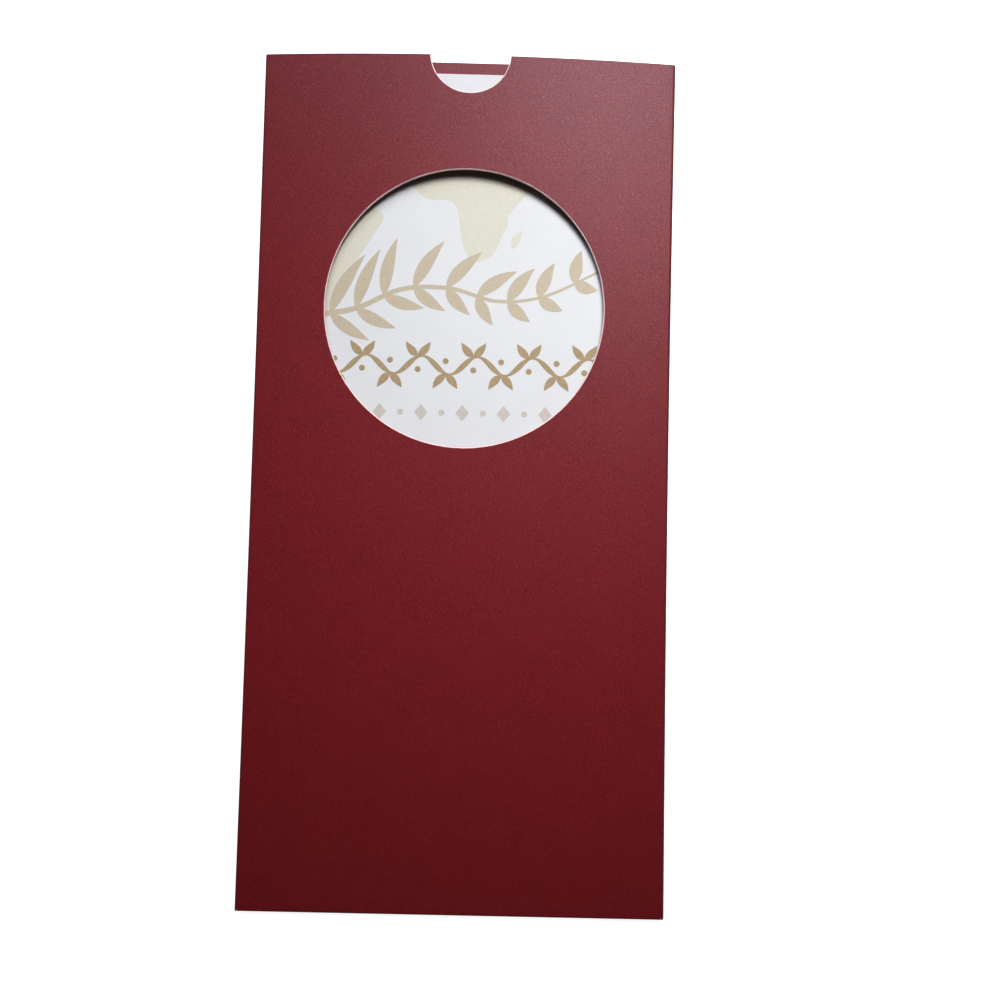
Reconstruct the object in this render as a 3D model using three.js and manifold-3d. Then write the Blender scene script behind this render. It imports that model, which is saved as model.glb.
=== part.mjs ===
// Pocket invitation: a folded and glued card sleeve with a round window and a thumb notch,
// and a plain flat card that slides in and out of its mouth.
// Millimetres, +Z up. The sleeve lies on its back panel with its mouth towards +Y.
// The origin is at the middle of the footprint, on the surface that it lies on.

import * as THREE from 'three';
import { mergeVertices } from 'three/addons/utils/BufferGeometryUtils.js';
import Module from 'manifold-3d';

const wasm = await Module();
wasm.setup();

// Driving dimensions of the sleeve
const sleeveWidth = 105;
const sleeveHeight = 214.7;
const cardThickness = 0.35;
const mouthBow = 2.4; // rise of the front panel's middle above its folds, at the mouth
const backRecess = 0.35; // the back panel is cut this much lower at the mouth
const backEdgeInset = 0.6; // from the glued fold to the back panel's free edge

// Window and thumb notch in the front panel
const windowDiameter = 70.3;
const windowBelowMouth = 64.7; // from the mouth down to the window's centre
const notchRadius = 10.1;
const notchLift = 0.45; // of the notch's centre, past the mouth

// Glue flaps, turned in under the front panel along the left fold and the bottom fold
const sideFlapWidth = 14;
const bottomFlapDepth = 14;
const flapEndSlope = 1; // run-out of a flap's end per unit of its width
const flapEndFoot = 1.4; // from the bottom fold to where the side flap starts
const flapEndHead = 2; // from the mouth to where the side flap ends
const cornerRelief = 0.4; // slit that lets two folds meet at a corner

// Double-sided tape between the flaps and the back panel
const tapeThickness = 0.1;
const tapeWidth = 9;
const tapeInset = 2; // from the fold's straight part, and from the flap's sloping ends

// The card inside
const insertThickness = 0.35;
const insertLift = 0.05; // over the flaps that it lies on
const insertHeadroom = 0.15; // under the front panel, along the folds
const insertSideClearance = 3; // from each side fold's outside
const insertFootClearance = 0.95; // from the bottom fold's outside
const insertMouthInset = 3.75; // from the mouth down to the card's top edge

// Heights that the layers stack up to
const flapUnderside = cardThickness + tapeThickness;
const flapTop = flapUnderside + cardThickness;
const insertUnderside = flapTop + insertLift;
const insertTop = insertUnderside + insertThickness;
const frontUnderside = insertTop + insertHeadroom;
const frontTop = frontUnderside + cardThickness;

// Outside radii of the folds: the right fold wraps the whole stack, the glued ones turn in over the tape
const rightRadius = frontTop / 2;
const gluedRadius = (frontTop - flapUnderside) / 2;
const frontLeft = -sleeveWidth / 2 + gluedRadius;
const frontRight = sleeveWidth / 2 - rightRadius;

// Steps of the sheet's grid
const bendSteps = 8;
const frontColumns = 24;
const backColumns = 6;
const panelRows = 10;
const windowSides = 96;
const notchSides = 48;

const steps = (from, to, count) =>
  Array.from({ length: count + 1 }, (_, i) => from + ((to - from) * i) / count);
const joined = (...runs) => runs.flatMap((run, i) => (i ? run.slice(1) : run));

// The sheet before folding: s runs across it and v runs up it, both along the card.
// On the front panel s is x and v is the height above the bottom fold's outside.
const leftFoldEnd = frontLeft - Math.PI * gluedRadius;
const rightFoldEnd = frontRight + Math.PI * rightRadius;
const bottomFoldEnd = gluedRadius * (1 - Math.PI);
const flapFree = leftFoldEnd - sideFlapWidth;
const backFree = rightFoldEnd + frontRight + sleeveWidth / 2 - backEdgeInset;
const bottomFree = bottomFoldEnd - bottomFlapDepth;
const sideFlapFoot = flapEndFoot;
const sideFlapHead = sleeveHeight - flapEndHead;
const backHead = sleeveHeight - backRecess;

const columns = joined(
  [flapFree, leftFoldEnd],
  steps(leftFoldEnd, frontLeft, bendSteps),
  [frontLeft, frontLeft + cornerRelief],
  steps(frontLeft + cornerRelief, frontRight - cornerRelief, frontColumns),
  [frontRight - cornerRelief, frontRight],
  steps(frontRight, rightFoldEnd, bendSteps),
  steps(rightFoldEnd, backFree, backColumns),
);
const rows = joined(
  [bottomFree, bottomFoldEnd],
  steps(bottomFoldEnd, gluedRadius, bendSteps),
  [gluedRadius, sideFlapFoot],
  steps(sideFlapFoot, sideFlapHead, panelRows),
  [sideFlapHead, backHead, sleeveHeight],
);

// The side folds start at the first row above the ground line, and the back panel one row further up
const foldFoot = rows.find((v) => v > 0);
const backFoot = rows.find((v) => v > foldFoot);

// Whether the card is there, at the middle of a cell of the grid
function hasCard(s, v) {
  if (s < leftFoldEnd) return v > sideFlapFoot && v < sideFlapHead;
  if (s > rightFoldEnd) return v > backFoot && v < backHead;
  if (s < frontLeft || s > frontRight) return v > foldFoot;
  if (s < frontLeft + cornerRelief || s > frontRight - cornerRelief) return v > gluedRadius;
  return true;
}

// The front panel's rise over its folds: a parabola across, growing evenly from the bottom fold to the mouth
function bow(x, y) {
  const across = (2 * x - frontLeft - frontRight) / (frontRight - frontLeft);
  const along = Math.max(0, y - gluedRadius) / (sleeveHeight - gluedRadius);
  return mouthBow * along * (1 - across * across);
}

// A point of the folded sheet: depth is 0 on the outer face and the card's thickness on the inner one
function folded(s, v, depth) {
  const underBottomFold = v < gluedRadius && s > frontLeft && s < frontRight;
  if (underBottomFold) {
    const turn = Math.min((gluedRadius - v) / gluedRadius, Math.PI);
    const run = Math.max(0, bottomFoldEnd - v);
    const radius = gluedRadius - depth;
    const middle = (frontLeft + frontRight) / 2;
    const halfSpan = (frontRight - frontLeft) / 2;
    return [
      middle + (s - middle) * (1 - (flapEndSlope * run) / halfSpan),
      gluedRadius - radius * Math.sin(turn) + run,
      frontTop - gluedRadius + radius * Math.cos(turn),
    ];
  }
  if (s < frontLeft) {
    const turn = Math.min((frontLeft - s) / gluedRadius, Math.PI);
    const run = Math.max(0, leftFoldEnd - s);
    const radius = gluedRadius - depth;
    const share = (v - sideFlapFoot) / (sideFlapHead - sideFlapFoot);
    return [
      frontLeft - radius * Math.sin(turn) + run,
      v + flapEndSlope * run * (1 - 2 * share),
      frontTop - gluedRadius + radius * Math.cos(turn),
    ];
  }
  if (s > frontRight) {
    const turn = Math.min((s - frontRight) / rightRadius, Math.PI);
    const run = Math.max(0, s - rightFoldEnd);
    const radius = rightRadius - depth;
    return [
      frontRight + radius * Math.sin(turn) - run,
      v,
      rightRadius + radius * Math.cos(turn),
    ];
  }
  return [s, v, frontTop - depth + bow(s, v)];
}

// The folded sheet as one closed shell: two faces for each cell, and a wall along each cut edge
function foldedSheet() {
  const positions = [];
  const numbers = new Map();
  const corner = (i, j, depth) => {
    const key = `${i},${j},${depth}`;
    if (!numbers.has(key)) {
      numbers.set(key, positions.length / 3);
      positions.push(...folded(columns[i], rows[j], depth));
    }
    return numbers.get(key);
  };
  const index = [];
  const quad = (a, b, c, d) => index.push(a, b, c, a, c, d);
  const present = (i, j) =>
    i >= 0 && j >= 0 && i < columns.length - 1 && j < rows.length - 1 &&
    hasCard((columns[i] + columns[i + 1]) / 2, (rows[j] + rows[j + 1]) / 2);
  const wall = (i0, j0, i1, j1) => quad(
    corner(i0, j0, cardThickness),
    corner(i1, j1, cardThickness),
    corner(i1, j1, 0),
    corner(i0, j0, 0),
  );
  for (let i = 0; i < columns.length - 1; i += 1) {
    for (let j = 0; j < rows.length - 1; j += 1) {
      if (!present(i, j)) continue;
      quad(corner(i, j, 0), corner(i + 1, j, 0), corner(i + 1, j + 1, 0), corner(i, j + 1, 0));
      quad(
        corner(i, j, cardThickness),
        corner(i, j + 1, cardThickness),
        corner(i + 1, j + 1, cardThickness),
        corner(i + 1, j, cardThickness),
      );
      if (!present(i, j - 1)) wall(i, j, i + 1, j);
      if (!present(i + 1, j)) wall(i + 1, j, i + 1, j + 1);
      if (!present(i, j + 1)) wall(i + 1, j + 1, i, j + 1);
      if (!present(i - 1, j)) wall(i, j + 1, i, j);
    }
  }
  const geometry = new THREE.BufferGeometry();
  geometry.setAttribute('position', new THREE.Float32BufferAttribute(positions, 3));
  geometry.setIndex(index);
  return geometry;
}

function toSolid(geometry) {
  const bare = geometry.clone();
  bare.deleteAttribute('normal');
  bare.deleteAttribute('uv');
  const merged = mergeVertices(bare, 1e-5);
  return new wasm.Manifold(new wasm.Mesh({
    numProp: 3,
    vertProperties: new Float32Array(merged.attributes.position.array),
    triVerts: new Uint32Array(merged.index.array),
  }));
}

function toGeometry(solid) {
  const mesh = solid.getMesh();
  const geometry = new THREE.BufferGeometry();
  geometry.setAttribute('position', new THREE.BufferAttribute(mesh.vertProperties, 3));
  geometry.setIndex(new THREE.BufferAttribute(mesh.triVerts, 1));
  geometry.computeVertexNormals();
  return geometry;
}

// A round punch along Z that goes through the front panel and stops above the back one
function punch(radius, y, sides) {
  const foot = insertTop;
  const top = frontTop + mouthBow + sleeveWidth;
  const geometry = new THREE.CylinderGeometry(radius, radius, top - foot, sides);
  geometry.rotateX(Math.PI / 2);
  geometry.translate(0, y, (foot + top) / 2);
  return toSolid(geometry);
}

function sleeveGeometry() {
  const windowPunch = punch(windowDiameter / 2, sleeveHeight - windowBelowMouth, windowSides);
  const notchPunch = punch(notchRadius, sleeveHeight + notchLift, notchSides);
  return toGeometry(toSolid(foldedSheet()).subtract(windowPunch).subtract(notchPunch));
}

// A flat rectangle of card or tape, given by its low and high corners
function flatPiece(low, high) {
  const geometry = new THREE.BoxGeometry(high[0] - low[0], high[1] - low[1], high[2] - low[2]);
  geometry.translate((low[0] + high[0]) / 2, (low[1] + high[1]) / 2, (low[2] + high[2]) / 2);
  return geometry;
}

// Along the side flap, inside its sloping ends
function sideTapeGeometry() {
  const foot = sideFlapFoot + flapEndSlope * (tapeInset + tapeWidth) + tapeInset;
  const head = sideFlapHead - flapEndSlope * (tapeInset + tapeWidth) - tapeInset;
  const left = frontLeft + tapeInset;
  return flatPiece([left, foot, cardThickness], [left + tapeWidth, head, flapUnderside]);
}

// Along the bottom flap, inside its sloping ends
function bottomTapeGeometry() {
  const endInset = cornerRelief + flapEndSlope * (tapeInset + tapeWidth) + tapeInset;
  const foot = gluedRadius + tapeInset;
  return flatPiece(
    [frontLeft + endInset, foot, cardThickness],
    [frontRight - endInset, foot + tapeWidth, flapUnderside],
  );
}

function insertGeometry() {
  const half = sleeveWidth / 2 - insertSideClearance;
  return flatPiece(
    [-half, insertFootClearance, insertUnderside],
    [half, sleeveHeight - insertMouthInset, insertTop],
  );
}

const pearlCard = new THREE.MeshStandardMaterial({ color: 0x74333a, roughness: 0.45, metalness: 0.15 });
const whiteCard = new THREE.MeshStandardMaterial({ color: 0xe4e6e9, roughness: 0.75, metalness: 0 });
const clearTape = new THREE.MeshStandardMaterial({ color: 0xe8e4d8, roughness: 0.4, metalness: 0 });

function piece(name, geometry, material) {
  const mesh = new THREE.Mesh(geometry, material);
  mesh.name = name;
  return mesh;
}

// The pieces are drawn with y counted from the bottom fold, and the group centres them on the origin
const invitation = new THREE.Group();
invitation.add(
  piece('sleeve', sleeveGeometry(), pearlCard),
  piece('side_seam_tape', sideTapeGeometry(), clearTape),
  piece('bottom_seam_tape', bottomTapeGeometry(), clearTape),
  piece('insert_card', insertGeometry(), whiteCard),
);
invitation.position.set(0, -sleeveHeight / 2, 0);

export default invitation;
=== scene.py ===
"""Looks of a pocket invitation: a folded pearlescent card sleeve with a round window and a thumb notch,
and the printed card inside it. Metres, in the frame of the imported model."""

import math

import bpy
import numpy as np
from bpy.props import FloatProperty, FloatVectorProperty, PointerProperty
from bpy.types import Operator, Panel, PropertyGroup
from mathutils import Matrix, Vector


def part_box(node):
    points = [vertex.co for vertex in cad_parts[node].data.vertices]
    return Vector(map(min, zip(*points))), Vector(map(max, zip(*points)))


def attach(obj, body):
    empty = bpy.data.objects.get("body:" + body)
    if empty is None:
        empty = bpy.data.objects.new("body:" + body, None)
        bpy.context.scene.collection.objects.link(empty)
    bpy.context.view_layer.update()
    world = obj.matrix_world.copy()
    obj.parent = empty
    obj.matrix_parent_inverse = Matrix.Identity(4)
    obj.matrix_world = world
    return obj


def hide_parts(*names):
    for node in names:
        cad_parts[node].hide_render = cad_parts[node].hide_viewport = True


bl_info = {
    "name": "Pocket Invitation",
    "version": (1, 0, 0),
    "blender": (4, 5, 0),
    "location": "3D View > Sidebar > Invitation",
    "description": "Builds the looks of a folded card sleeve and the printed card inside it",
    "category": "Object",
}

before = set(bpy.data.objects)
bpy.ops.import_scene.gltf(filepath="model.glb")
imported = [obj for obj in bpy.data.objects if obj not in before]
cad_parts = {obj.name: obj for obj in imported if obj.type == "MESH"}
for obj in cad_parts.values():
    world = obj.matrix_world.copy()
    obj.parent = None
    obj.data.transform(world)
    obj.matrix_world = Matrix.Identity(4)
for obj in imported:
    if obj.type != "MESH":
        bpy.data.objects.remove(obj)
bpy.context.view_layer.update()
MM = 0.001

# Points nearer to each other than this become one
WELD = 0.001 * MM

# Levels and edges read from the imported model
SLEEVE_LOW, SLEEVE_HIGH = (np.array(corner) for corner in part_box("sleeve"))
TAPE_LOW, TAPE_HIGH = (np.array(corner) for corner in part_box("side_seam_tape"))
CARD_LOW, CARD_HIGH = (np.array(corner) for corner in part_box("insert_card"))
LENGTH = SLEEVE_HIGH[1] - SLEEVE_LOW[1]
THICKNESS = TAPE_LOW[2]
FLAP_UNDERSIDE = TAPE_HIGH[2]

# Fit of the photographed view: the camera's focal length, frame width, place and turns
LENS_MM = 36.0
SENSOR_MM = 36.0
CAMERA_PLACE = (0.00847, -0.01905, 0.25101)
CAMERA_TURNS = (-0.0547, 0.0075, -0.0233)


def length_property(name, description, default):
    """A length in metres, shown in the scene's own unit."""
    return FloatProperty(name=name, description=description, default=default, unit="LENGTH", precision=5)


def colour_property(name, description, default):
    """A linear colour of red, green and blue."""
    return FloatVectorProperty(name=name, description=description, default=default, size=3,
                               subtype="COLOR", min=0.0, max=1.0)


def power_property(name, description, default):
    """A lamp's power in watts."""
    return FloatProperty(name=name, description=description, default=default, unit="POWER")


class SleeveSettings(PropertyGroup):
    """Sizes and colours of the folded sleeve"""

    headroom: length_property("Headroom", "Gap from the card inside to the panel at the folds", 0.15 * MM)
    bow: length_property("Bow", "Rise of the front panel's middle over its folds, at the mouth", 2.397 * MM)
    waist: length_property("Waist", "How far the right fold draws in at mid height", 0.42 * MM)
    left_waist: length_property("Left waist", "How far the left fold draws in at mid height", 0.14 * MM)
    window_radius: length_property("Window radius", "Radius of the round window", 35.15 * MM)
    window_depth: length_property("Window depth", "From the mouth to the window's centre", 64.7 * MM)
    notch_radius: length_property("Notch radius", "Radius of the thumb notch", 10.1 * MM)
    notch_lift: length_property("Notch lift", "From the mouth up to the centre of the notch", 0.45 * MM)
    flap: length_property("Flap", "Width of the glue flaps", 14.0 * MM)
    lip: length_property("Lip", "Rounding of the edges punched round the window and the notch", 0.25 * MM)
    colour: colour_property("Card", "Colour of the pearlescent card", (0.188, 0.0098, 0.0125))
    core: colour_property("Core", "Colour of the card's cut edge", (1.0, 0.72, 0.70))


class PrintSettings(PropertyGroup):
    """Colours of the card inside and its print, and the print's thickness"""

    ink: length_property("Ink", "Thickness of the printed layer", 0.012 * MM)
    step: length_property("Step", "Rise from one printed shape to the next", 0.0008 * MM)
    card: colour_property("Card", "Colour of the unprinted card", (0.80, 0.81, 0.81))
    cream: colour_property("Cream", "Colour of the land fields", (0.73, 0.71, 0.58))
    beige: colour_property("Beige", "Colour of the large sprig", (0.585, 0.50, 0.36))
    gold: colour_property("Gold", "Colour of the garland", (0.42, 0.305, 0.165))
    grey: colour_property("Grey", "Colour of the foot ornament", (0.62, 0.57, 0.50))


class StageSettings(PropertyGroup):
    """Strength of each light"""

    key_power: power_property("Key", "Power of the large soft lamp", 0.206)
    sky_power: power_property("Sky", "Power of the cool lamp past the mouth", 0.174)
    reach_power: power_property("Reach", "Power of the lamp over the drawn-out card", 0.05)
    fill_strength: FloatProperty(name="Fill", description="Strength of the even light around", default=0.02)


class Signal:
    """A shader socket as a number: + - and * on it add Math nodes."""

    def __init__(self, graph, socket):
        self.graph = graph
        self.socket = socket

    def math(self, operation, *values):
        """A Math node on sockets or plain numbers."""
        return self.graph.signal("ShaderNodeMath", {"operation": operation}, dict(enumerate(values)))

    def __add__(self, other):
        return self.math("ADD", self, other)

    def __radd__(self, other):
        return self.math("ADD", other, self)

    def __sub__(self, other):
        return self.math("SUBTRACT", self, other)

    def __rsub__(self, other):
        return self.math("SUBTRACT", other, self)

    def __mul__(self, other):
        return self.math("MULTIPLY", self, other)

    def __rmul__(self, other):
        return self.math("MULTIPLY", other, self)

    def ramp(self, low, high):
        """0 below low, 1 above high, and smooth between."""
        return self.graph.signal("ShaderNodeMapRange", {"interpolation_type": "SMOOTHSTEP"},
                                 {"Value": self, "From Min": low, "From Max": high})


class Graph:
    """The node tree of a material, or of a world, in which every node comes from one method."""

    def __init__(self, name, kind="materials"):
        self.owner = getattr(bpy.data, kind).new(name)
        self.owner.use_nodes = True
        self.tree = self.owner.node_tree
        self.tree.nodes.clear()

    def node(self, kind, settings=None, inputs=None):
        """A node with its settings and its inputs, each of which is linked or given its value."""
        made = self.tree.nodes.new(kind)
        for key, value in (settings or {}).items():
            setattr(made, key, value)
        for key, value in (inputs or {}).items():
            if isinstance(value, Signal):
                self.tree.links.new(value.socket, made.inputs[key])
            else:
                made.inputs[key].default_value = value
        return made

    def signal(self, kind, settings=None, inputs=None, output=0):
        """One output of a new node."""
        return Signal(self, self.node(kind, settings, inputs).outputs[output])

    def place(self, scale=(1.0, 1.0, 1.0)):
        """Object coordinates in millimetres, stretched by scale."""
        objects = self.signal("ShaderNodeTexCoord", output="Object")
        per_mm = [part / MM for part in scale]
        return self.signal("ShaderNodeVectorMath", {"operation": "MULTIPLY"}, {0: objects, 1: per_mm})

    def noise(self, where, scale, detail=2.0, roughness=0.5):
        """Smooth noise of about 0 to 1, with scale waves for each unit of where."""
        return self.signal("ShaderNodeTexNoise", {"noise_dimensions": "3D"},
                           {"Vector": where, "Scale": scale, "Detail": detail, "Roughness": roughness})

    def mix(self, factor, first, second):
        """The first colour at factor 0, the second at factor 1."""
        return self.signal("ShaderNodeMix", {"data_type": "RGBA"},
                           {"Factor": factor, 6: first, 7: second}, output=2)

    def finish(self, surface, kind="ShaderNodeOutputMaterial"):
        """Join the surface to the output and hand over the finished material or world."""
        self.node(kind, inputs={"Surface": surface})
        return self.owner


def rgba(colour, gain=1.0):
    """A colour made lighter or darker by gain, with its alpha."""
    return tuple(min(1.0, part * gain) for part in colour) + (1.0,)


def pearl_material(colour):
    """Burgundy card with a pearl coat: soft mottling, fine fibres and small bright flakes. The coat is uneven
    in the same grain. The folds carry painted shade: their colour is darkened, and their coat is thinner and
    rougher."""
    graph = Graph("pearl card")
    where = graph.place()
    mottle = graph.noise(where, 0.16, 2.0)
    grain = graph.noise(where, 2.2, 3.0, 0.65)
    fibres = graph.noise(graph.place((2.6, 0.7, 1.0)), 0.9, 2.0)
    mica = graph.noise(where, 3.4, 3.0, 0.7).ramp(0.36, 0.66)
    cells = graph.node("ShaderNodeTexVoronoi", {"voronoi_dimensions": "3D"}, {"Vector": where, "Scale": 3.4})
    chosen = graph.signal("ShaderNodeSeparateColor", inputs={"Color": Signal(graph, cells.outputs["Color"])})
    from_middle = Signal(graph, cells.outputs["Distance"])
    flake = chosen.ramp(0.80, 0.97) * (1.0 - from_middle.ramp(0.15, 0.5))
    # Fold mask from the mesh, used to paint shade into the folds: darker colour, and a thinner, rougher coat
    crease = graph.signal("ShaderNodeAttribute", {"attribute_name": "crease"}, output=2)
    shade = 0.5 + (mottle - 0.5) * 0.3 + (grain - 0.5) * 0.3 + (fibres - 0.5) * 0.15 + (mica - 0.5) * 0.2
    body = graph.mix(shade.ramp(0.0, 1.0), rgba(colour, 0.78), rgba(colour, 1.22))
    glint = rgba([part * 1.5 + 0.045 for part in colour])
    # Painted shade: the folds are darkened towards a third of the card's colour
    base = graph.mix(crease * 0.7, graph.mix(flake * 0.3, body, glint), rgba(colour, 0.3))
    coat = 0.05 + 0.44 * mica + 0.4 * flake
    height = grain * 0.6 + fibres * 0.4 + flake * 0.5
    bump = graph.signal("ShaderNodeBump", inputs={"Strength": 1.0, "Distance": 0.06 * MM, "Height": height})
    roughness = 0.43 + (grain - 0.5) * 0.5 - flake * 0.16 + crease * 0.1
    shader = graph.signal("ShaderNodeBsdfPrincipled", inputs={
        "Base Color": base,
        "Roughness": roughness,
        "Specular IOR Level": 0.18,
        "Specular Tint": (0.84, 0.84, 1.0, 1.0),
        "Coat Weight": coat * (1.0 - crease * 0.6),
        "Coat Roughness": 0.4,
        "Normal": bump,
    })
    return graph.finish(shader)


def core_material(colour):
    """The card's cut edge: paler than its faces, and fibrous."""
    graph = Graph("cut edge")
    fibres = graph.noise(graph.place(), 5.0, 3.0, 0.7)
    base = graph.mix(fibres.ramp(0.3, 0.7), rgba(colour, 0.9), rgba(colour, 1.0))
    shader = graph.signal("ShaderNodeBsdfPrincipled", inputs={"Base Color": base, "Roughness": 0.7})
    return graph.finish(shader)


def paper_material(colour):
    """Smooth cool white card with a faint fibre and tooth."""
    graph = Graph("white card")
    where = graph.place()
    fibres = graph.noise(graph.place((0.6, 2.2, 1.0)), 0.8, 3.0, 0.6)
    cloud = graph.noise(where, 0.12, 2.0)
    tone = (0.5 + (fibres - 0.5) * 0.5 + (cloud - 0.5) * 0.6).ramp(0.0, 1.0)
    base = graph.mix(tone, rgba(colour, 0.965), rgba(colour, 1.03))
    tooth = graph.noise(where, 3.5, 3.0, 0.7)
    bump = graph.signal("ShaderNodeBump", inputs={"Strength": 0.2, "Distance": 0.008 * MM, "Height": tooth})
    shader = graph.signal("ShaderNodeBsdfPrincipled", inputs={
        "Base Color": base,
        "Roughness": 0.62 + (tooth - 0.5) * 0.1,
        "Specular IOR Level": 0.35,
        "Normal": bump,
    })
    return graph.finish(shader)


def ink_material(name, colour, spread=0.06):
    """Printed ink: flat colour that takes the card's tooth, with a slightly uneven lay."""
    graph = Graph(name)
    where = graph.place()
    lay = graph.noise(where, 1.4, 3.0, 0.6)
    base = graph.mix(lay.ramp(0.3, 0.7), rgba(colour, 1.0 - spread), rgba(colour, 1.0 + spread))
    shader = graph.signal("ShaderNodeBsdfPrincipled", inputs={
        "Base Color": base,
        "Roughness": 0.55 + (lay - 0.5) * 0.1,
        "Specular IOR Level": 0.35,
    })
    return graph.finish(shader)


def tape_material():
    """Double-sided tape: milky film with a faint streak along it."""
    graph = Graph("seam tape")
    streak = graph.noise(graph.place((3.0, 0.2, 1.0)), 1.0, 2.0)
    base = graph.mix(streak.ramp(0.3, 0.7), (0.72, 0.69, 0.60, 1.0), (0.80, 0.78, 0.70, 1.0))
    shader = graph.signal("ShaderNodeBsdfPrincipled", inputs={"Base Color": base, "Roughness": 0.4})
    return graph.finish(shader)


def new_piece(name, points, quads, materials, smooth=True):
    """A mesh object at the origin from an array of points and an array of quads. A quad with two corners
    in one point becomes a triangle, and one with fewer than three different corners is left out."""
    mesh = bpy.data.meshes.new(name)
    faces = [list(dict.fromkeys(quad)) for quad in quads.tolist()]
    faces = [face for face in faces if len(face) > 2]
    mesh.from_pydata(points.tolist(), [], faces)
    mesh.polygons.foreach_set("use_smooth", np.full(len(faces), smooth))
    for material in materials:
        mesh.materials.append(material)
    mesh.update()
    piece = bpy.data.objects.new(name, mesh)
    bpy.context.scene.collection.objects.link(piece)
    return piece


def evenly(first, last, steps):
    """Places from first to last, in even steps."""
    return np.linspace(first, last, steps + 1)


def grid_patch(columns, rows):
    """Every pair of a column and a row as a point (s, v), and the quads between neighbours."""
    s, v = np.meshgrid(columns, rows, indexing="ij")
    return np.stack([s.ravel(), v.ravel()], 1), grid_quads(len(columns), len(rows))


def grid_quads(across, along, closed=False):
    """Quads of a grid whose point (i, j) is number i * along + j; closed joins the last i to the first."""
    i, j = np.meshgrid(np.arange(across if closed else across - 1), np.arange(along - 1), indexing="ij")
    after = (i + 1) % across
    quad = np.stack([i * along + j, after * along + j, after * along + j + 1, i * along + j + 1], -1)
    return quad.reshape(-1, 4)


def band_patch(inner, border, steps, closed=False):
    """From a border in to an inner line of as many points: each pair is joined by even steps."""
    share = evenly(1.0, 0.0, steps)[None, :, None]
    points = inner[:, None] * (1.0 - share) + border[:, None] * share
    return points.reshape(-1, 2), grid_quads(len(border), steps + 1, closed)


def ring_patch(border, centre, radius, steps):
    """From a border in to a circle: each border point is joined to the circle's point that lies towards it.
    The border runs anticlockwise round the centre."""
    towards = border - centre
    towards = towards / np.linalg.norm(towards, axis=1, keepdims=True)
    return band_patch(centre + radius * towards, border, steps, closed=True)


def joined_patches(patches):
    """All patches as one net: points that fall together become one."""
    points = np.concatenate([patch[0] for patch in patches])
    starts = np.cumsum([0] + [len(patch[0]) for patch in patches[:-1]])
    quads = np.concatenate([patch[1] + start for patch, start in zip(patches, starts)])
    keys = np.round(points / WELD).astype(np.int64)
    _, first, number = np.unique(keys, axis=0, return_index=True, return_inverse=True)
    return points[first], number.reshape(-1)[quads]


def open_edges(quads):
    """The directed edges that only one quad has."""
    edges = np.stack([quads, np.roll(quads, -1, axis=1)], -1).reshape(-1, 2)
    _, number, count = np.unique(np.sort(edges, axis=1), axis=0, return_inverse=True, return_counts=True)
    return edges[count[number.reshape(-1)] == 1]


def thickened(top, foot, quads):
    """A closed solid from two layers of the same net: the top as it is, the foot turned over, and a wall
    along every cut edge. It gives the points, the faces with the walls last, and the top's cut edges."""
    edges = open_edges(quads)
    count = len(top)
    walls = np.stack([edges[:, 1], edges[:, 0], edges[:, 0] + count, edges[:, 1] + count], 1)
    return np.concatenate([top, foot]), np.concatenate([quads, quads[:, ::-1] + count, walls]), edges


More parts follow.
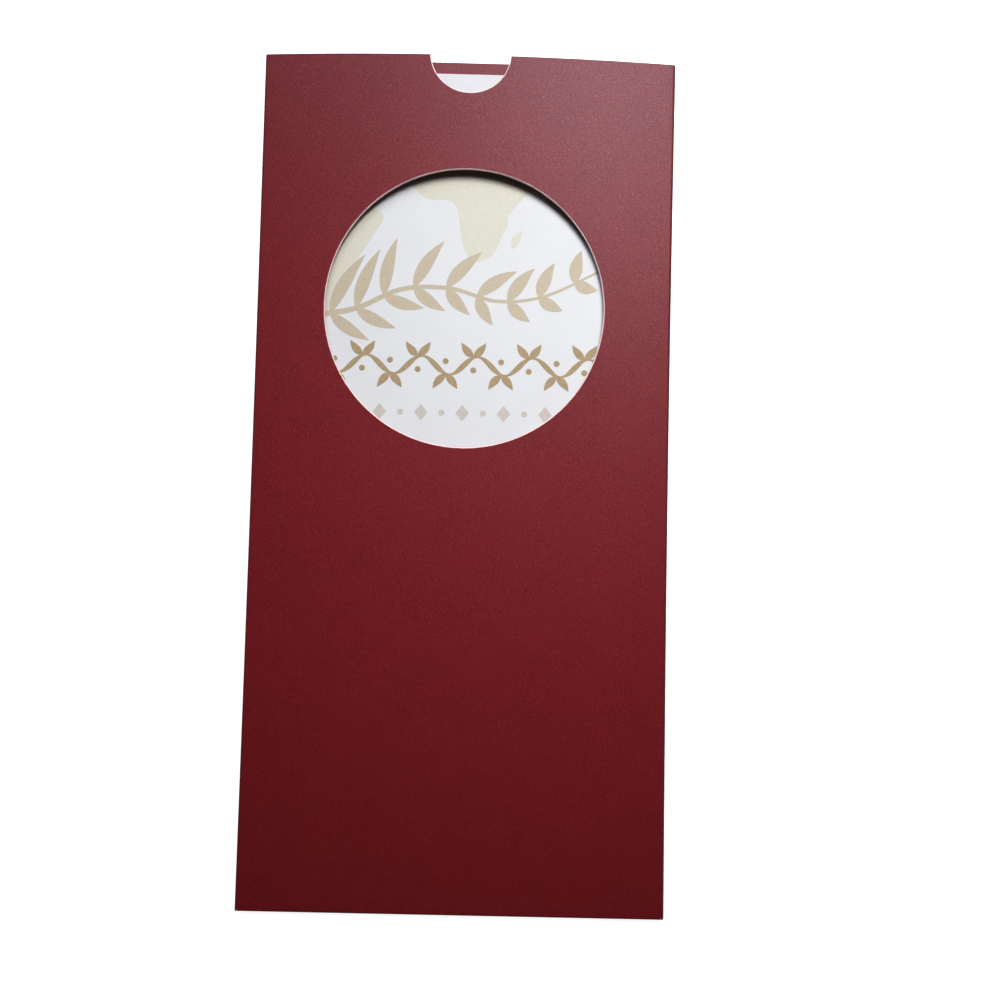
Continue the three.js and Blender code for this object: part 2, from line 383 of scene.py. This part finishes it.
class SleeveNet:
    """The sleeve's sheet before folding. s runs across it and v runs up it, both along the card."""

    # Steps of the grids: round each bend, and across the front panel, the back panel and the side flap
    BEND = 16
    ACROSS = 80
    BACK_ACROSS = 60
    FLAP_ACROSS = 12

    # Steps up the bottom flap, below the window, beside it, up to the notch's grid, and beside the notch
    FLAP_ROWS = 8
    LOWER_ROWS = 49
    WINDOW_ROWS = 60
    BETWEEN_ROWS = 5
    NOTCH_ROWS = 10

    # Steps in to the window's and the notch's edges
    WINDOW_RINGS = 14
    NOTCH_RINGS = 8

    # How far the side flap stays off the foot and the mouth, how far the back panel stays off the mouth and
    # the left fold's outer side, and the width of the slits between the folds at the foot
    FLAP_FOOT = 1.4 * MM
    FLAP_HEAD = 2.0 * MM
    BACK_RECESS = 0.35 * MM
    BACK_EDGE_INSET = 0.6 * MM
    RELIEF = 0.02 * MM

    # Half the height of the window's grid, and both half the width and the whole depth of the notch's
    WINDOW_FRAME = 42 * MM
    NOTCH_FRAME = 15 * MM

    # Depth of the shallow wave in the front panel, and its angles and starts along and across
    SLACK = 0.1 * MM
    WAVES_ALONG, START_ALONG = 2.3 * math.pi, 0.6
    WAVES_ACROSS, START_ACROSS = 1.7 * math.pi, 0.4

    # Share of the lip on the cut edges other than those of the window and the notch, and how far past their
    # radii an edge still counts as theirs
    PLAIN_LIP = 0.4
    PUNCHED_REACH = 1.01

    def __init__(self, settings):
        self.settings = settings
        self.top = CARD_HIGH[2] + settings.headroom + THICKNESS
        self.right_radius = self.top / 2
        self.glued_radius = (self.top - FLAP_UNDERSIDE) / 2
        self.left = SLEEVE_LOW[0] + self.glued_radius
        self.right = SLEEVE_HIGH[0] - self.right_radius
        self.left_end = self.left - math.pi * self.glued_radius
        self.right_end = self.right + math.pi * self.right_radius
        self.bottom_end = self.glued_radius * (1 - math.pi)
        self.window = np.array([0.0, LENGTH - settings.window_depth])
        self.flap_head = LENGTH - self.FLAP_HEAD
        self.back_head = LENGTH - self.BACK_RECESS
        # The side folds and the back panel start a little over the foot, within its bend
        self.fold_foot = self.glued_radius * (1 - math.pi / 4)
        self.back_foot = self.glued_radius * (1 - math.pi / 8)

    def rows(self):
        """Row lines of the panels, with lines where something starts or ends."""
        window_foot, window_head = self.window[1] - self.WINDOW_FRAME, self.window[1] + self.WINDOW_FRAME
        notch_foot = LENGTH - self.NOTCH_FRAME
        lower = evenly(self.FLAP_FOOT, window_foot, self.LOWER_ROWS)
        beside = evenly(window_foot, window_head, self.WINDOW_ROWS)
        between = evenly(window_head, notch_foot, self.BETWEEN_ROWS)
        above = evenly(notch_foot, self.flap_head, self.NOTCH_ROWS)
        return (np.array([self.fold_foot, self.back_foot, self.glued_radius]), lower, beside, between,
                np.concatenate([above, [self.back_head, LENGTH]]))

    def net(self):
        """The die-cut net: grids for the flaps, folds and panels, rings round the window and the notch."""
        feet, lower, beside, between, above = self.rows()
        columns = evenly(self.left + self.RELIEF, self.right - self.RELIEF, self.ACROSS)
        panel = np.concatenate([lower, beside[1:], between[1:], above[1:]])
        rows = np.concatenate([feet, panel])
        left_bend = evenly(self.left_end, self.left, self.BEND)
        right_bend = evenly(self.right, self.right_end, self.BEND)
        flap_columns = evenly(self.left_end - self.settings.flap, self.left_end, self.FLAP_ACROSS)
        back_run = self.right - SLEEVE_LOW[0] - self.BACK_EDGE_INSET
        back_columns = evenly(self.right_end, self.right_end + back_run, self.BACK_ACROSS)
        bottom_free = self.bottom_end - self.settings.flap
        window_border = np.concatenate([
            np.stack([columns[:-1], np.full(self.ACROSS, beside[0])], 1),
            np.stack([np.full(len(beside) - 1, columns[-1]), beside[:-1]], 1),
            np.stack([columns[:0:-1], np.full(self.ACROSS, beside[-1])], 1),
            np.stack([np.full(len(beside) - 1, columns[0]), beside[:0:-1]], 1),
        ])
        a, b = (int(np.argmin(abs(columns - x))) for x in (-self.NOTCH_FRAME, self.NOTCH_FRAME))
        notch_border = np.concatenate([
            np.stack([np.full(len(above), columns[a]), above[::-1]], 1),
            np.stack([columns[a + 1:b], np.full(b - a - 1, above[0])], 1),
            np.stack([np.full(len(above), columns[b]), above], 1),
        ])
        above_folds = rows[rows >= self.glued_radius]
        flap_rows = panel[panel <= self.flap_head + WELD]
        back_rows = rows[(rows >= self.back_foot) & (rows <= self.back_head)]
        return joined_patches([
            grid_patch(flap_columns, flap_rows),
            grid_patch(left_bend, rows),
            grid_patch(np.array([self.left, columns[0]]), above_folds),
            grid_patch(columns, evenly(bottom_free, self.bottom_end, self.FLAP_ROWS)),
            grid_patch(columns, evenly(self.bottom_end, self.glued_radius, self.BEND)),
            grid_patch(columns, np.array([self.glued_radius, self.FLAP_FOOT])),
            grid_patch(columns, lower),
            ring_patch(window_border, self.window, self.settings.window_radius, self.WINDOW_RINGS),
            grid_patch(columns, between),
            grid_patch(columns[:a + 1], above),
            self.notch_patch(notch_border),
            grid_patch(columns[b:], above),
            grid_patch(np.array([columns[-1], self.right]), above_folds),
            grid_patch(right_bend, rows),
            grid_patch(back_columns, back_rows),
        ])

    def notch_patch(self, border):
        """From the border in to the notch's arc. The arc runs from mouth to mouth round a centre that lies
        past the mouth, and its points share that turn as the border's points share half a turn."""
        radius, lift = self.settings.notch_radius, self.settings.notch_lift
        end = math.asin(lift / radius)
        towards = border - np.array([0.0, LENGTH])
        share = (np.arctan2(towards[:, 1], towards[:, 0]) + math.pi) % (2 * math.pi) / math.pi
        turn = math.pi + end + share * (math.pi - 2 * end)
        arc = np.stack([radius * np.cos(turn), LENGTH + lift + radius * np.sin(turn)], 1)
        return band_patch(arc, border, self.NOTCH_RINGS)

    def bow(self, x, y):
        """Rise over the folds: a parabola across that grows evenly from the foot to the mouth, less a shallow
        wave between them, where the card isn't quite true."""
        across = (2 * x - self.left - self.right) / (self.right - self.left)
        along = np.clip(y - self.glued_radius, 0, None) / (LENGTH - self.glued_radius)
        wave = (np.sin(self.WAVES_ALONG * along + self.START_ALONG)
                * np.cos(self.WAVES_ACROSS * across + self.START_ACROSS))
        rest = (1 - across ** 2) * along * (1 - along)
        return self.settings.bow * along * (1 - across ** 2) - self.SLACK * rest * (1 + wave)

    def folded(self, s, v, depth):
        """A point of the folded sheet. Each fold is half a round of its own radius, less depth on the inner
        face; past it the card runs straight back. Flap ends run out at 45 degrees, and the side folds draw in
        by a sine of the way up."""
        radius, middle, half = self.glued_radius, (self.left + self.right) / 2, (self.right - self.left) / 2
        x = s.copy()
        y = v.copy()
        z = self.top - depth + self.bow(s, v)
        under = (v < radius) & (s > self.left) & (s < self.right)
        turn = np.clip((radius - v) / radius, 0, math.pi)
        run = np.clip(self.bottom_end - v, 0, None)
        x = np.where(under, middle + (s - middle) * (1 - run / half), x)
        y = np.where(under, radius - (radius - depth) * np.sin(turn) + run, y)
        z = np.where(under, self.top - radius + (radius - depth) * np.cos(turn), z)
        at_left = s < self.left
        turn = np.clip((self.left - s) / radius, 0, math.pi)
        run = np.clip(self.left_end - s, 0, None)
        share = (v - self.FLAP_FOOT) / (self.flap_head - self.FLAP_FOOT)
        x = np.where(at_left, self.left - (radius - depth) * np.sin(turn) + run, x)
        y = np.where(at_left, v + run * (1 - 2 * share), y)
        z = np.where(at_left, self.top - radius + (radius - depth) * np.cos(turn), z)
        radius = self.right_radius
        at_right = s > self.right
        turn = np.clip((s - self.right) / radius, 0, math.pi)
        run = np.clip(s - self.right_end, 0, None)
        x = np.where(at_right, self.right + (radius - depth) * np.sin(turn) - run, x)
        z = np.where(at_right, radius + (radius - depth) * np.cos(turn), z)
        drawn = np.where(x > 0, self.settings.waist, self.settings.left_waist)
        reach = np.clip(abs(x) / half, 0, 1) ** 2
        x = x - np.sign(x) * drawn * reach * np.sin(math.pi * np.clip(y / LENGTH, 0, 1))
        return np.stack([x, y + SLEEVE_LOW[1], z], 1)

    def crease(self, s, v):
        """How far into a fold each point lies: the sine of the fold's turn there. It is the mask of the shade
        painted into the folds.
        """
        at_left = np.clip((self.left - s) / self.glued_radius, 0, math.pi)
        at_right = np.clip((s - self.right) / self.right_radius, 0, math.pi)
        at_foot = np.where((s > self.left) & (s < self.right), (self.glued_radius - v) / self.glued_radius, 0)
        return np.sin(at_left) + np.sin(at_right) + np.sin(np.clip(at_foot, 0, math.pi))

    def lip_share(self, middles):
        """Share of the lip at the middle of each cut edge: all of it round the window and the notch, none in
        the corner slits and less than half elsewhere."""
        settings = self.settings
        notch = np.array([0.0, LENGTH + settings.notch_lift])
        punched = np.linalg.norm(middles - self.window, axis=1) < settings.window_radius * self.PUNCHED_REACH
        punched |= np.linalg.norm(middles - notch, axis=1) < settings.notch_radius * self.PUNCHED_REACH
        from_folds = np.abs(middles[:, :1] - np.array([self.left, self.right])).min(axis=1)
        slit = (middles[:, 1] < self.glued_radius) & (from_folds < 2 * self.RELIEF)
        return np.where(punched, 1.0, np.where(slit, 0.0, self.PLAIN_LIP))

    def shell(self):
        """The folded sheet with its thickness. It gives the points, the faces with the walls last, how far
        into a fold each point lies (the mask of the painted fold shade), the outer face's cut edges, and the
        share of the lip on each of them."""
        flat, quads = self.net()
        outer = self.folded(flat[:, 0], flat[:, 1], 0.0)
        inner = self.folded(flat[:, 0], flat[:, 1], THICKNESS)
        crease = self.crease(flat[:, 0], flat[:, 1])
        points, faces, rims = thickened(outer, inner, quads)
        share = self.lip_share(flat[rims].mean(axis=1))
        return points, faces, np.concatenate([crease, crease]), rims, share


def flat_loft(first, second, across, low, high):
    """A thin solid between two lines of as many points: each pair of points is joined straight across.
    Its top lies at high and its foot at low. The quads are turned round where the sum of their areas is
    negative, so that the top faces up."""
    share = evenly(0.0, 1.0, across)[:, None, None]
    plan = first[None] * (1 - share) + second[None] * share
    plan, quads = joined_patches([(plan.reshape(-1, 2), grid_quads(across + 1, len(first)))])
    corners = plan[quads]
    down, over = corners[:, 2] - corners[:, 0], corners[:, 3] - corners[:, 1]
    if (down[:, 0] * over[:, 1] - down[:, 1] * over[:, 0]).sum() < 0:
        quads = quads[:, ::-1]
    top = np.column_stack([plan, np.full(len(plan), high)])
    foot = np.column_stack([plan, np.full(len(plan), low)])
    points, faces, _ = thickened(top, foot, quads)
    return points, faces


def smooth_line(knots, count):
    """A smooth line through given points: a Catmull-Rom curve, evenly sampled between the knots."""
    knots = np.asarray(knots, float)
    ends = np.concatenate([[2 * knots[0] - knots[1]], knots, [2 * knots[-1] - knots[-2]]])
    at = np.linspace(0, len(knots) - 1, count)
    i = np.clip(at.astype(int), 0, len(knots) - 2)
    t = (at - i)[:, None]
    p0, p1, p2, p3 = (ends[i + k] for k in range(4))
    return 0.5 * (2 * p1 + (p2 - p0) * t + (2 * p0 - 5 * p1 + 4 * p2 - p3) * t ** 2
                  + (3 * p1 - p0 - 3 * p2 + p3) * t ** 3)


def stroke(line, width):
    """The two sides of a pen stroke along a line: half the width to each side, square to it."""
    run = np.gradient(line, axis=0)
    run = run / np.linalg.norm(run, axis=1, keepdims=True)
    side = np.stack([-run[:, 1], run[:, 0]], 1) * np.asarray(width)[:, None] / 2
    return line - side, line + side


def leaf(root, angle, length, width, bend, count=25):
    """The two sides of a leaf: its width is a sine of the way along, fullest a little before the middle and
    a thread at its points, and its rib bends evenly."""
    t = np.linspace(0, 1, count)
    thread = 0.02 * MM
    rib = np.stack([t * length, bend * length * t ** 2], 1)
    turned = rib @ np.array([[math.cos(angle), math.sin(angle)], [-math.sin(angle), math.cos(angle)]])
    return stroke(np.asarray(root) + turned, thread + width * np.sin(math.pi * t ** 0.8) ** 0.9)


def disc(centre, radius, count=32):
    """The two halves of a round dot's outline."""
    t = np.linspace(0, math.pi, count)
    upper = np.asarray(centre) + radius * np.stack([np.cos(t), np.sin(t)], 1)
    lower = np.asarray(centre) + radius * np.stack([np.cos(t), -np.sin(t)], 1)
    return upper, lower


def printed(name, shapes, material, layer, settings):
    """One printed colour: every shape is a thin film on the card, and each lies a step over the one before,
    so that none is level with another where they cross. Layer 2 lies over layer 1."""
    low = CARD_HIGH[2]
    points, faces, start = [], [], 0
    for number, (first, second) in enumerate(shapes):
        high = low + layer * settings.ink + number * settings.step
        made, quads = flat_loft(first, second, across=2, low=low, high=high)
        points.append(made)
        faces.append(quads + start)
        start += len(made)
    piece = new_piece(name, np.concatenate(points), np.concatenate(faces), [material], smooth=False)
    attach(piece, "insert")
    return piece


def edge_values(mesh, rims, values):
    """One value for each edge of a mesh: that of the rim edge between the same two points, or 0."""
    ends = np.empty(len(mesh.edges) * 2, np.int32)
    mesh.edges.foreach_get("vertices", ends)
    known = {tuple(pair): value for pair, value in zip(np.sort(rims, axis=1).tolist(), values.tolist())}
    return [known.get(tuple(pair), 0.0) for pair in np.sort(ends.reshape(-1, 2), axis=1).tolist()]


class INVITE_OT_sleeve(Operator):
    """Build the folded sleeve"""

    bl_idname = "invite.sleeve"
    bl_label = "Folded sleeve"

    SHARP_ANGLE = math.radians(50)
    LIP_SEGMENTS = 3

    # Place of the cut edge's material in the sleeve's list
    CORE_SLOT = 1

    def execute(self, context):
        settings = context.scene.invite_sleeve
        points, faces, crease, rims, share = SleeveNet(settings).shell()
        materials = [pearl_material(settings.colour), core_material(settings.core)]
        sleeve = new_piece("folded_sleeve", points, faces, materials)
        index = np.zeros(len(faces), np.int32)
        index[-len(rims):] = self.CORE_SLOT
        sleeve.data.polygons.foreach_set("material_index", index)
        # The fold mask, with which the pearl card paints shade into the folds
        sleeve.data.attributes.new("crease", "FLOAT", "POINT").data.foreach_set("value", crease)
        sleeve.data.set_sharp_from_angle(angle=self.SHARP_ANGLE)
        weights = edge_values(sleeve.data, rims, share)
        sleeve.data.attributes.new("bevel_weight_edge", "FLOAT", "EDGE").data.foreach_set("value", weights)
        lip = sleeve.modifiers.new("die-cut lip", "BEVEL")
        lip.width = settings.lip
        lip.segments = self.LIP_SEGMENTS
        lip.limit_method = "WEIGHT"
        lip.material = self.CORE_SLOT
        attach(sleeve, "sleeve")
        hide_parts("sleeve")
        return {"FINISHED"}


class INVITE_OT_tapes(Operator):
    """Finish the tapes in the glued seams"""

    bl_idname = "invite.tapes"
    bl_label = "Seam tapes"

    def execute(self, context):
        material = tape_material()
        for name in ("side_seam_tape", "bottom_seam_tape"):
            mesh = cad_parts[name].data
            mesh.materials.clear()
            mesh.materials.append(material)
        return {"FINISHED"}


class INVITE_OT_card(Operator):
    """Finish the white card"""

    bl_idname = "invite.card"
    bl_label = "Card inside"

    def execute(self, context):
        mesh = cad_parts["insert_card"].data
        mesh.materials.clear()
        mesh.materials.append(paper_material(context.scene.invite_print.card))
        return {"FINISHED"}


class INVITE_OT_land(Operator):
    """Print the pale land fields at the card's head"""

    bl_idname = "invite.land"
    bl_label = "Land fields"

    # Coast lines from north to south, in millimetres on the card
    WEST_AFRICA = [(-4.0, 94.5), (-15.0, 92.5), (-19.5, 86.0), (-18.8, 79.5), (-14.4, 74.6), (-11.8, 71.9),
                   (-9.2, 70.7), (-4.6, 70.6), (-2.7, 68.8), (-2.0, 65.9), (-1.4, 61.5), (-0.4, 58.0),
                   (1.2, 55.5), (3.2, 54.9)]
    EAST_AFRICA = [(-4.0, 94.5), (13.0, 93.5), (17.0, 89.0), (20.0, 83.5), (24.5, 80.5), (20.5, 77.0),
                   (15.1, 72.6), (12.8, 69.9), (10.6, 66.9), (10.3, 64.2), (9.2, 62.0), (8.2, 59.5),
                   (6.6, 56.6), (3.2, 54.9)]
    WEST_ISLAND = [(13.9, 63.2), (12.6, 62.3), (11.6, 61.2), (11.3, 59.9), (11.7, 58.3)]
    EAST_ISLAND = [(13.9, 63.2), (14.0, 62.2), (13.5, 60.6), (12.7, 59.1), (11.7, 58.3)]
    WEST_AMERICA = [(-42.0, 80.0), (-46.0, 73.5), (-45.0, 66.0), (-41.5, 60.5), (-41.5, 53.0), (-41.0, 45.0),
                    (-40.0, 36.0), (-38.0, 31.5)]
    EAST_AMERICA = [(-37.0, 80.5), (-30.0, 75.0), (-25.0, 69.0), (-21.2, 66.2), (-23.5, 61.5), (-26.2, 57.0),
                    (-29.4, 51.5), (-31.2, 47.0), (-35.0, 41.0), (-38.0, 31.5)]
    COAST_POINTS = 90

    def execute(self, context):
        settings = context.scene.invite_print
        coasts = [(self.WEST_AFRICA, self.EAST_AFRICA), (self.WEST_ISLAND, self.EAST_ISLAND),
                  (self.WEST_AMERICA, self.EAST_AMERICA)]
        shapes = [[smooth_line(coast, self.COAST_POINTS) * MM for coast in pair] for pair in coasts]
        printed("printed_land", shapes, ink_material("cream ink", settings.cream, 0.03), 1, settings)
        return {"FINISHED"}


class INVITE_OT_sprig(Operator):
    """Print the large leafy sprig"""

    bl_idname = "invite.sprig"
    bl_label = "Large sprig"

    # The stem's course, in millimetres on the card, its width at the root, and how much narrower its tip is
    STEM = [(-36.5, 40.5), (-27.0, 42.5), (-16.0, 47.5), (-4.0, 48.0), (8.0, 45.0), (20.0, 46.5),
            (33.5, 53.0)]
    STEM_POINTS = 240
    STEM_WIDTH = 1.5 * MM
    STEM_TAPER = 0.9 * MM

    # How many pairs of leaves, and as shares of the stem, where the first stands and how far the rest run
    PAIRS = 9
    FIRST_PAIR = 0.05
    PAIR_RUN = 0.88

    # The leaves: the first upper one's length and how much shorter the last is, the turn off the stem and
    # the width of the upper and lower ones, the lower ones' share of the length, the bend, and the tip's leaf
    LEAF_LENGTH = 17.0 * MM
    LEAF_TAPER = 8.5 * MM
    UPPER_TURN = 1.1
    UPPER_WIDTH = 3.3 * MM
    LOWER_TURN = 0.95
    LOWER_WIDTH = 3.1 * MM
    LOWER_SHARE = 0.7
    LEAF_BEND = 0.2
    TIP_LENGTH = 7.0 * MM
    TIP_WIDTH = 2.6 * MM
    TIP_BEND = 0.1

    def execute(self, context):
        settings = context.scene.invite_print
        stem = smooth_line(np.array(self.STEM) * MM, self.STEM_POINTS)
        shapes = [stroke(stem, self.STEM_WIDTH - self.STEM_TAPER * np.linspace(0, 1, len(stem)))]
        for part in evenly(0.0, 1.0, self.PAIRS - 1):
            at = int((self.FIRST_PAIR + self.PAIR_RUN * part) * (len(stem) - 1))
            course = np.arctan2(*(stem[at + 1] - stem[at - 1])[::-1])
            size = self.LEAF_LENGTH - self.LEAF_TAPER * part
            upper, lower = course + self.UPPER_TURN, course - self.LOWER_TURN
            shapes.append(leaf(stem[at], upper, size, self.UPPER_WIDTH, -self.LEAF_BEND))
            shapes.append(leaf(stem[at], lower, size * self.LOWER_SHARE, self.LOWER_WIDTH, self.LEAF_BEND))
        course = np.arctan2(*(stem[-1] - stem[-3])[::-1])
        shapes.append(leaf(stem[-1], course, self.TIP_LENGTH, self.TIP_WIDTH, self.TIP_BEND))
        printed("printed_sprig", shapes, ink_material("beige ink", settings.beige, 0.05), 2, settings)
        return {"FINISHED"}


class INVITE_OT_garland(Operator):
    """Print the fine gold garland under the sprig"""

    bl_idname = "invite.garland"
    bl_label = "Gold garland"

    # The stem is a sine wave: its level on the card, half its run, the wave's length and rise, and its width,
    # which swells by STEM_SWELL where the stem crosses its level
    LEVEL = 28.3 * MM
    HALF = 36.0 * MM
    WAVE = 14.0 * MM
    RISE = 2.3 * MM
    STEM_POINTS = 320
    STEM_WIDTH = 0.95 * MM
    STEM_SWELL = 0.45 * MM

    # At each crest, a leaf to either side and a berry on the stem's other side
    LEAF_TURN = 0.95
    LEAF_LENGTH = 4.6 * MM
    LEAF_WIDTH = 1.9 * MM
    LEAF_BEND = 0.25
    BERRY_DROP = 3.4 * MM
    BERRY_RADIUS = 0.75 * MM

    def execute(self, context):
        settings = context.scene.invite_print
        x = np.linspace(-self.HALF, self.HALF, self.STEM_POINTS)
        y = self.LEVEL + self.RISE * np.sin(2 * math.pi * x / self.WAVE)
        stem = np.stack([x, y], 1)
        shapes = [stroke(stem, self.STEM_WIDTH + self.STEM_SWELL * np.cos(4 * math.pi * x / self.WAVE))]
        for crest in np.arange(-self.HALF + self.WAVE / 4, self.HALF, self.WAVE / 2):
            up = 1 if np.sin(2 * math.pi * crest / self.WAVE) > 0 else -1
            root = (crest, self.LEVEL + self.RISE * up)
            for side in (-1, 1):
                turn, bend = up * (math.pi / 2 + side * self.LEAF_TURN), -side * up * self.LEAF_BEND
                shapes.append(leaf(root, turn, self.LEAF_LENGTH, self.LEAF_WIDTH, bend))
            shapes.append(disc((crest, root[1] - self.BERRY_DROP * up), self.BERRY_RADIUS))
        printed("printed_garland", shapes, ink_material("gold ink", settings.gold, 0.1), 2, settings)
        return {"FINISHED"}


class INVITE_OT_beads(Operator):
    """Print the pale row of lozenges and dots at the foot"""

    bl_idname = "invite.beads"
    bl_label = "Foot ornament"

    # The row's level on the card, the step from one to the next, how many stand to each side of the middle
    # one, a lozenge's half width and half height, and a dot's radius
    LEVEL = 16.3 * MM
    STEP = 5.2 * MM
    EACH_SIDE = 4
    LOZENGE = (1.7 * MM, 2.1 * MM)
    DOT_RADIUS = 0.75 * MM

    def execute(self, context):
        settings = context.scene.invite_print
        shapes = []
        for number in range(-self.EACH_SIDE, self.EACH_SIDE + 1):
            centre = np.array([number * self.STEP, self.LEVEL])
            if number % 2 == 0:
                outline = np.array([(-1, 0), (0, 1), (1, 0)]) * self.LOZENGE
                shapes.append((centre + outline, centre + outline * (1, -1)))
            else:
                shapes.append(disc(centre, self.DOT_RADIUS))
        printed("printed_beads", shapes, ink_material("grey ink", settings.grey, 0.05), 2, settings)
        return {"FINISHED"}


class INVITE_OT_stage(Operator):
    """Set the floor, the lamps, the world and the camera"""

    bl_idname = "invite.stage"
    bl_label = "Stage"

    WHITE = (1.0, 1.0, 1.0, 1.0)

    # The floor: half its side, how far it lies under the card, its grey, and how much it glows to the eye
    FLOOR_REACH = 6.0
    FLOOR_DROP = 0.03 * MM
    FLOOR_GREY = (0.8, 0.8, 0.8, 1.0)
    FLOOR_GLOW = 0.93

    FILL_COLOUR = (0.95, 0.98, 1.0, 1.0)

    # Place, aim, size, spread in degrees and colour of each lamp
    LAMPS = {
        "key": ((0.12, 0.28, 0.34), (0.03, 0.025, 0.0), 0.22, 46, (1.0, 0.975, 0.99)),
        "sky": ((-0.11, 0.48, 0.34), (0.0, 0.09, 0.0), 0.25, 60, (0.80, 0.88, 1.0)),
        "reach": ((0.0, 0.33, 0.62), (0.0, 0.28, 0.0), 0.12, 25, (0.95, 0.97, 1.0)),
    }

    # The nearest and farthest things the camera sees
    CLIP_START = 0.01
    CLIP_END = 50.0

    def floor(self):
        """A square matt floor that also glows where it is seen, straight on or in a sheen."""
        reach = self.FLOOR_REACH
        corners = np.array([(-reach, -reach), (reach, -reach), (reach, reach), (-reach, reach)])
        points = np.column_stack([corners, np.full(4, -self.FLOOR_DROP)])
        graph = Graph("white floor")
        rays = graph.node("ShaderNodeLightPath")
        seen = Signal(graph, rays.outputs["Is Camera Ray"])
        for name in ("Is Glossy Ray", "Is Transmission Ray"):
            seen = seen.math("MAXIMUM", seen, Signal(graph, rays.outputs[name]))
        plain = graph.signal("ShaderNodeBsdfDiffuse", inputs={"Color": self.FLOOR_GREY})
        glow = graph.signal("ShaderNodeEmission", inputs={"Color": self.WHITE, "Strength": self.FLOOR_GLOW})
        lit = graph.signal("ShaderNodeAddShader", inputs={0: plain, 1: glow})
        material = graph.finish(graph.signal("ShaderNodeMixShader", inputs={0: seen, 1: plain, 2: lit}))
        piece = new_piece("floor", points, np.array([[0, 1, 2, 3]]), [material], smooth=False)

    def world(self, context):
        """A faint even light all round, behind which the camera sees plain white."""
        graph = Graph("studio", "worlds")
        fill = {"Color": self.FILL_COLOUR, "Strength": context.scene.invite_stage.fill_strength}
        seen = Signal(graph, graph.node("ShaderNodeLightPath").outputs["Is Camera Ray"])
        around = graph.signal("ShaderNodeBackground", inputs=fill)
        behind = graph.signal("ShaderNodeBackground", inputs={"Color": self.WHITE})
        mixed = graph.signal("ShaderNodeMixShader", inputs={0: seen, 1: around, 2: behind})
        context.scene.world = graph.finish(mixed, "ShaderNodeOutputWorld")

    def lamp(self, context, name, power):
        """A square soft lamp that shines along its own -Z, turned from its place to its aim."""
        place, aim, size, spread, colour = self.LAMPS[name]
        light = bpy.data.lights.new(name, "AREA")
        light.shape = "SQUARE"
        light.size = size
        light.spread = math.radians(spread)
        light.energy = power
        light.color = colour
        lamp = bpy.data.objects.new(name, light)
        lamp.location = place
        lamp.rotation_euler = (Vector(aim) - Vector(place)).to_track_quat("-Z", "Y").to_euler()
        context.scene.collection.objects.link(lamp)

    def camera(self, context):
        """The camera's turn is the transpose of the turns about X, Y and Z that the photograph gives."""
        turn = Matrix.Identity(3)
        for angle, axis in zip(CAMERA_TURNS, "XYZ"):
            turn = turn @ Matrix.Rotation(angle, 3, axis)
        data = bpy.data.cameras.new("camera")
        data.lens = LENS_MM
        data.sensor_width = SENSOR_MM
        data.sensor_fit = "HORIZONTAL"
        data.clip_start = self.CLIP_START
        data.clip_end = self.CLIP_END
        camera = bpy.data.objects.new("camera", data)
        camera.location = CAMERA_PLACE
        camera.rotation_euler = turn.transposed().to_euler()
        context.scene.collection.objects.link(camera)
        context.scene.camera = camera

    def execute(self, context):
        self.floor()
        self.world(context)
        for name in self.LAMPS:
            self.lamp(context, name, getattr(context.scene.invite_stage, name + "_power"))
        self.camera(context)
        context.scene.view_settings.view_transform = "Standard"
        return {"FINISHED"}


OPERATORS = (INVITE_OT_sleeve, INVITE_OT_tapes, INVITE_OT_card, INVITE_OT_land, INVITE_OT_sprig,
             INVITE_OT_garland, INVITE_OT_beads, INVITE_OT_stage)


class INVITE_PT_panel(Panel):
    """Sizes, colours and pieces of the invitation"""

    bl_label = "Invitation"
    bl_idname = "INVITE_PT_panel"
    bl_space_type = "VIEW_3D"
    bl_region_type = "UI"
    bl_category = "Invitation"

    def draw(self, context):
        for operator in OPERATORS:
            self.layout.operator(operator.bl_idname)
        for group in ("invite_sleeve", "invite_print", "invite_stage"):
            box = self.layout.box()
            settings = getattr(context.scene, group)
            for key in settings.__annotations__:
                box.prop(settings, key)


CLASSES = (SleeveSettings, PrintSettings, StageSettings) + OPERATORS + (INVITE_PT_panel,)


def register():
    for cls in CLASSES:
        bpy.utils.register_class(cls)
    bpy.types.Scene.invite_sleeve = PointerProperty(type=SleeveSettings)
    bpy.types.Scene.invite_print = PointerProperty(type=PrintSettings)
    bpy.types.Scene.invite_stage = PointerProperty(type=StageSettings)


def unregister():
    del bpy.types.Scene.invite_sleeve
    del bpy.types.Scene.invite_print
    del bpy.types.Scene.invite_stage
    for cls in reversed(CLASSES):
        bpy.utils.unregister_class(cls)


def main():
    """Register everything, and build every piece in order."""
    register()
    for operator in OPERATORS:
        group, name = operator.bl_idname.split(".")
        getattr(getattr(bpy.ops, group), name)()


if __name__ == "__main__":
    main()
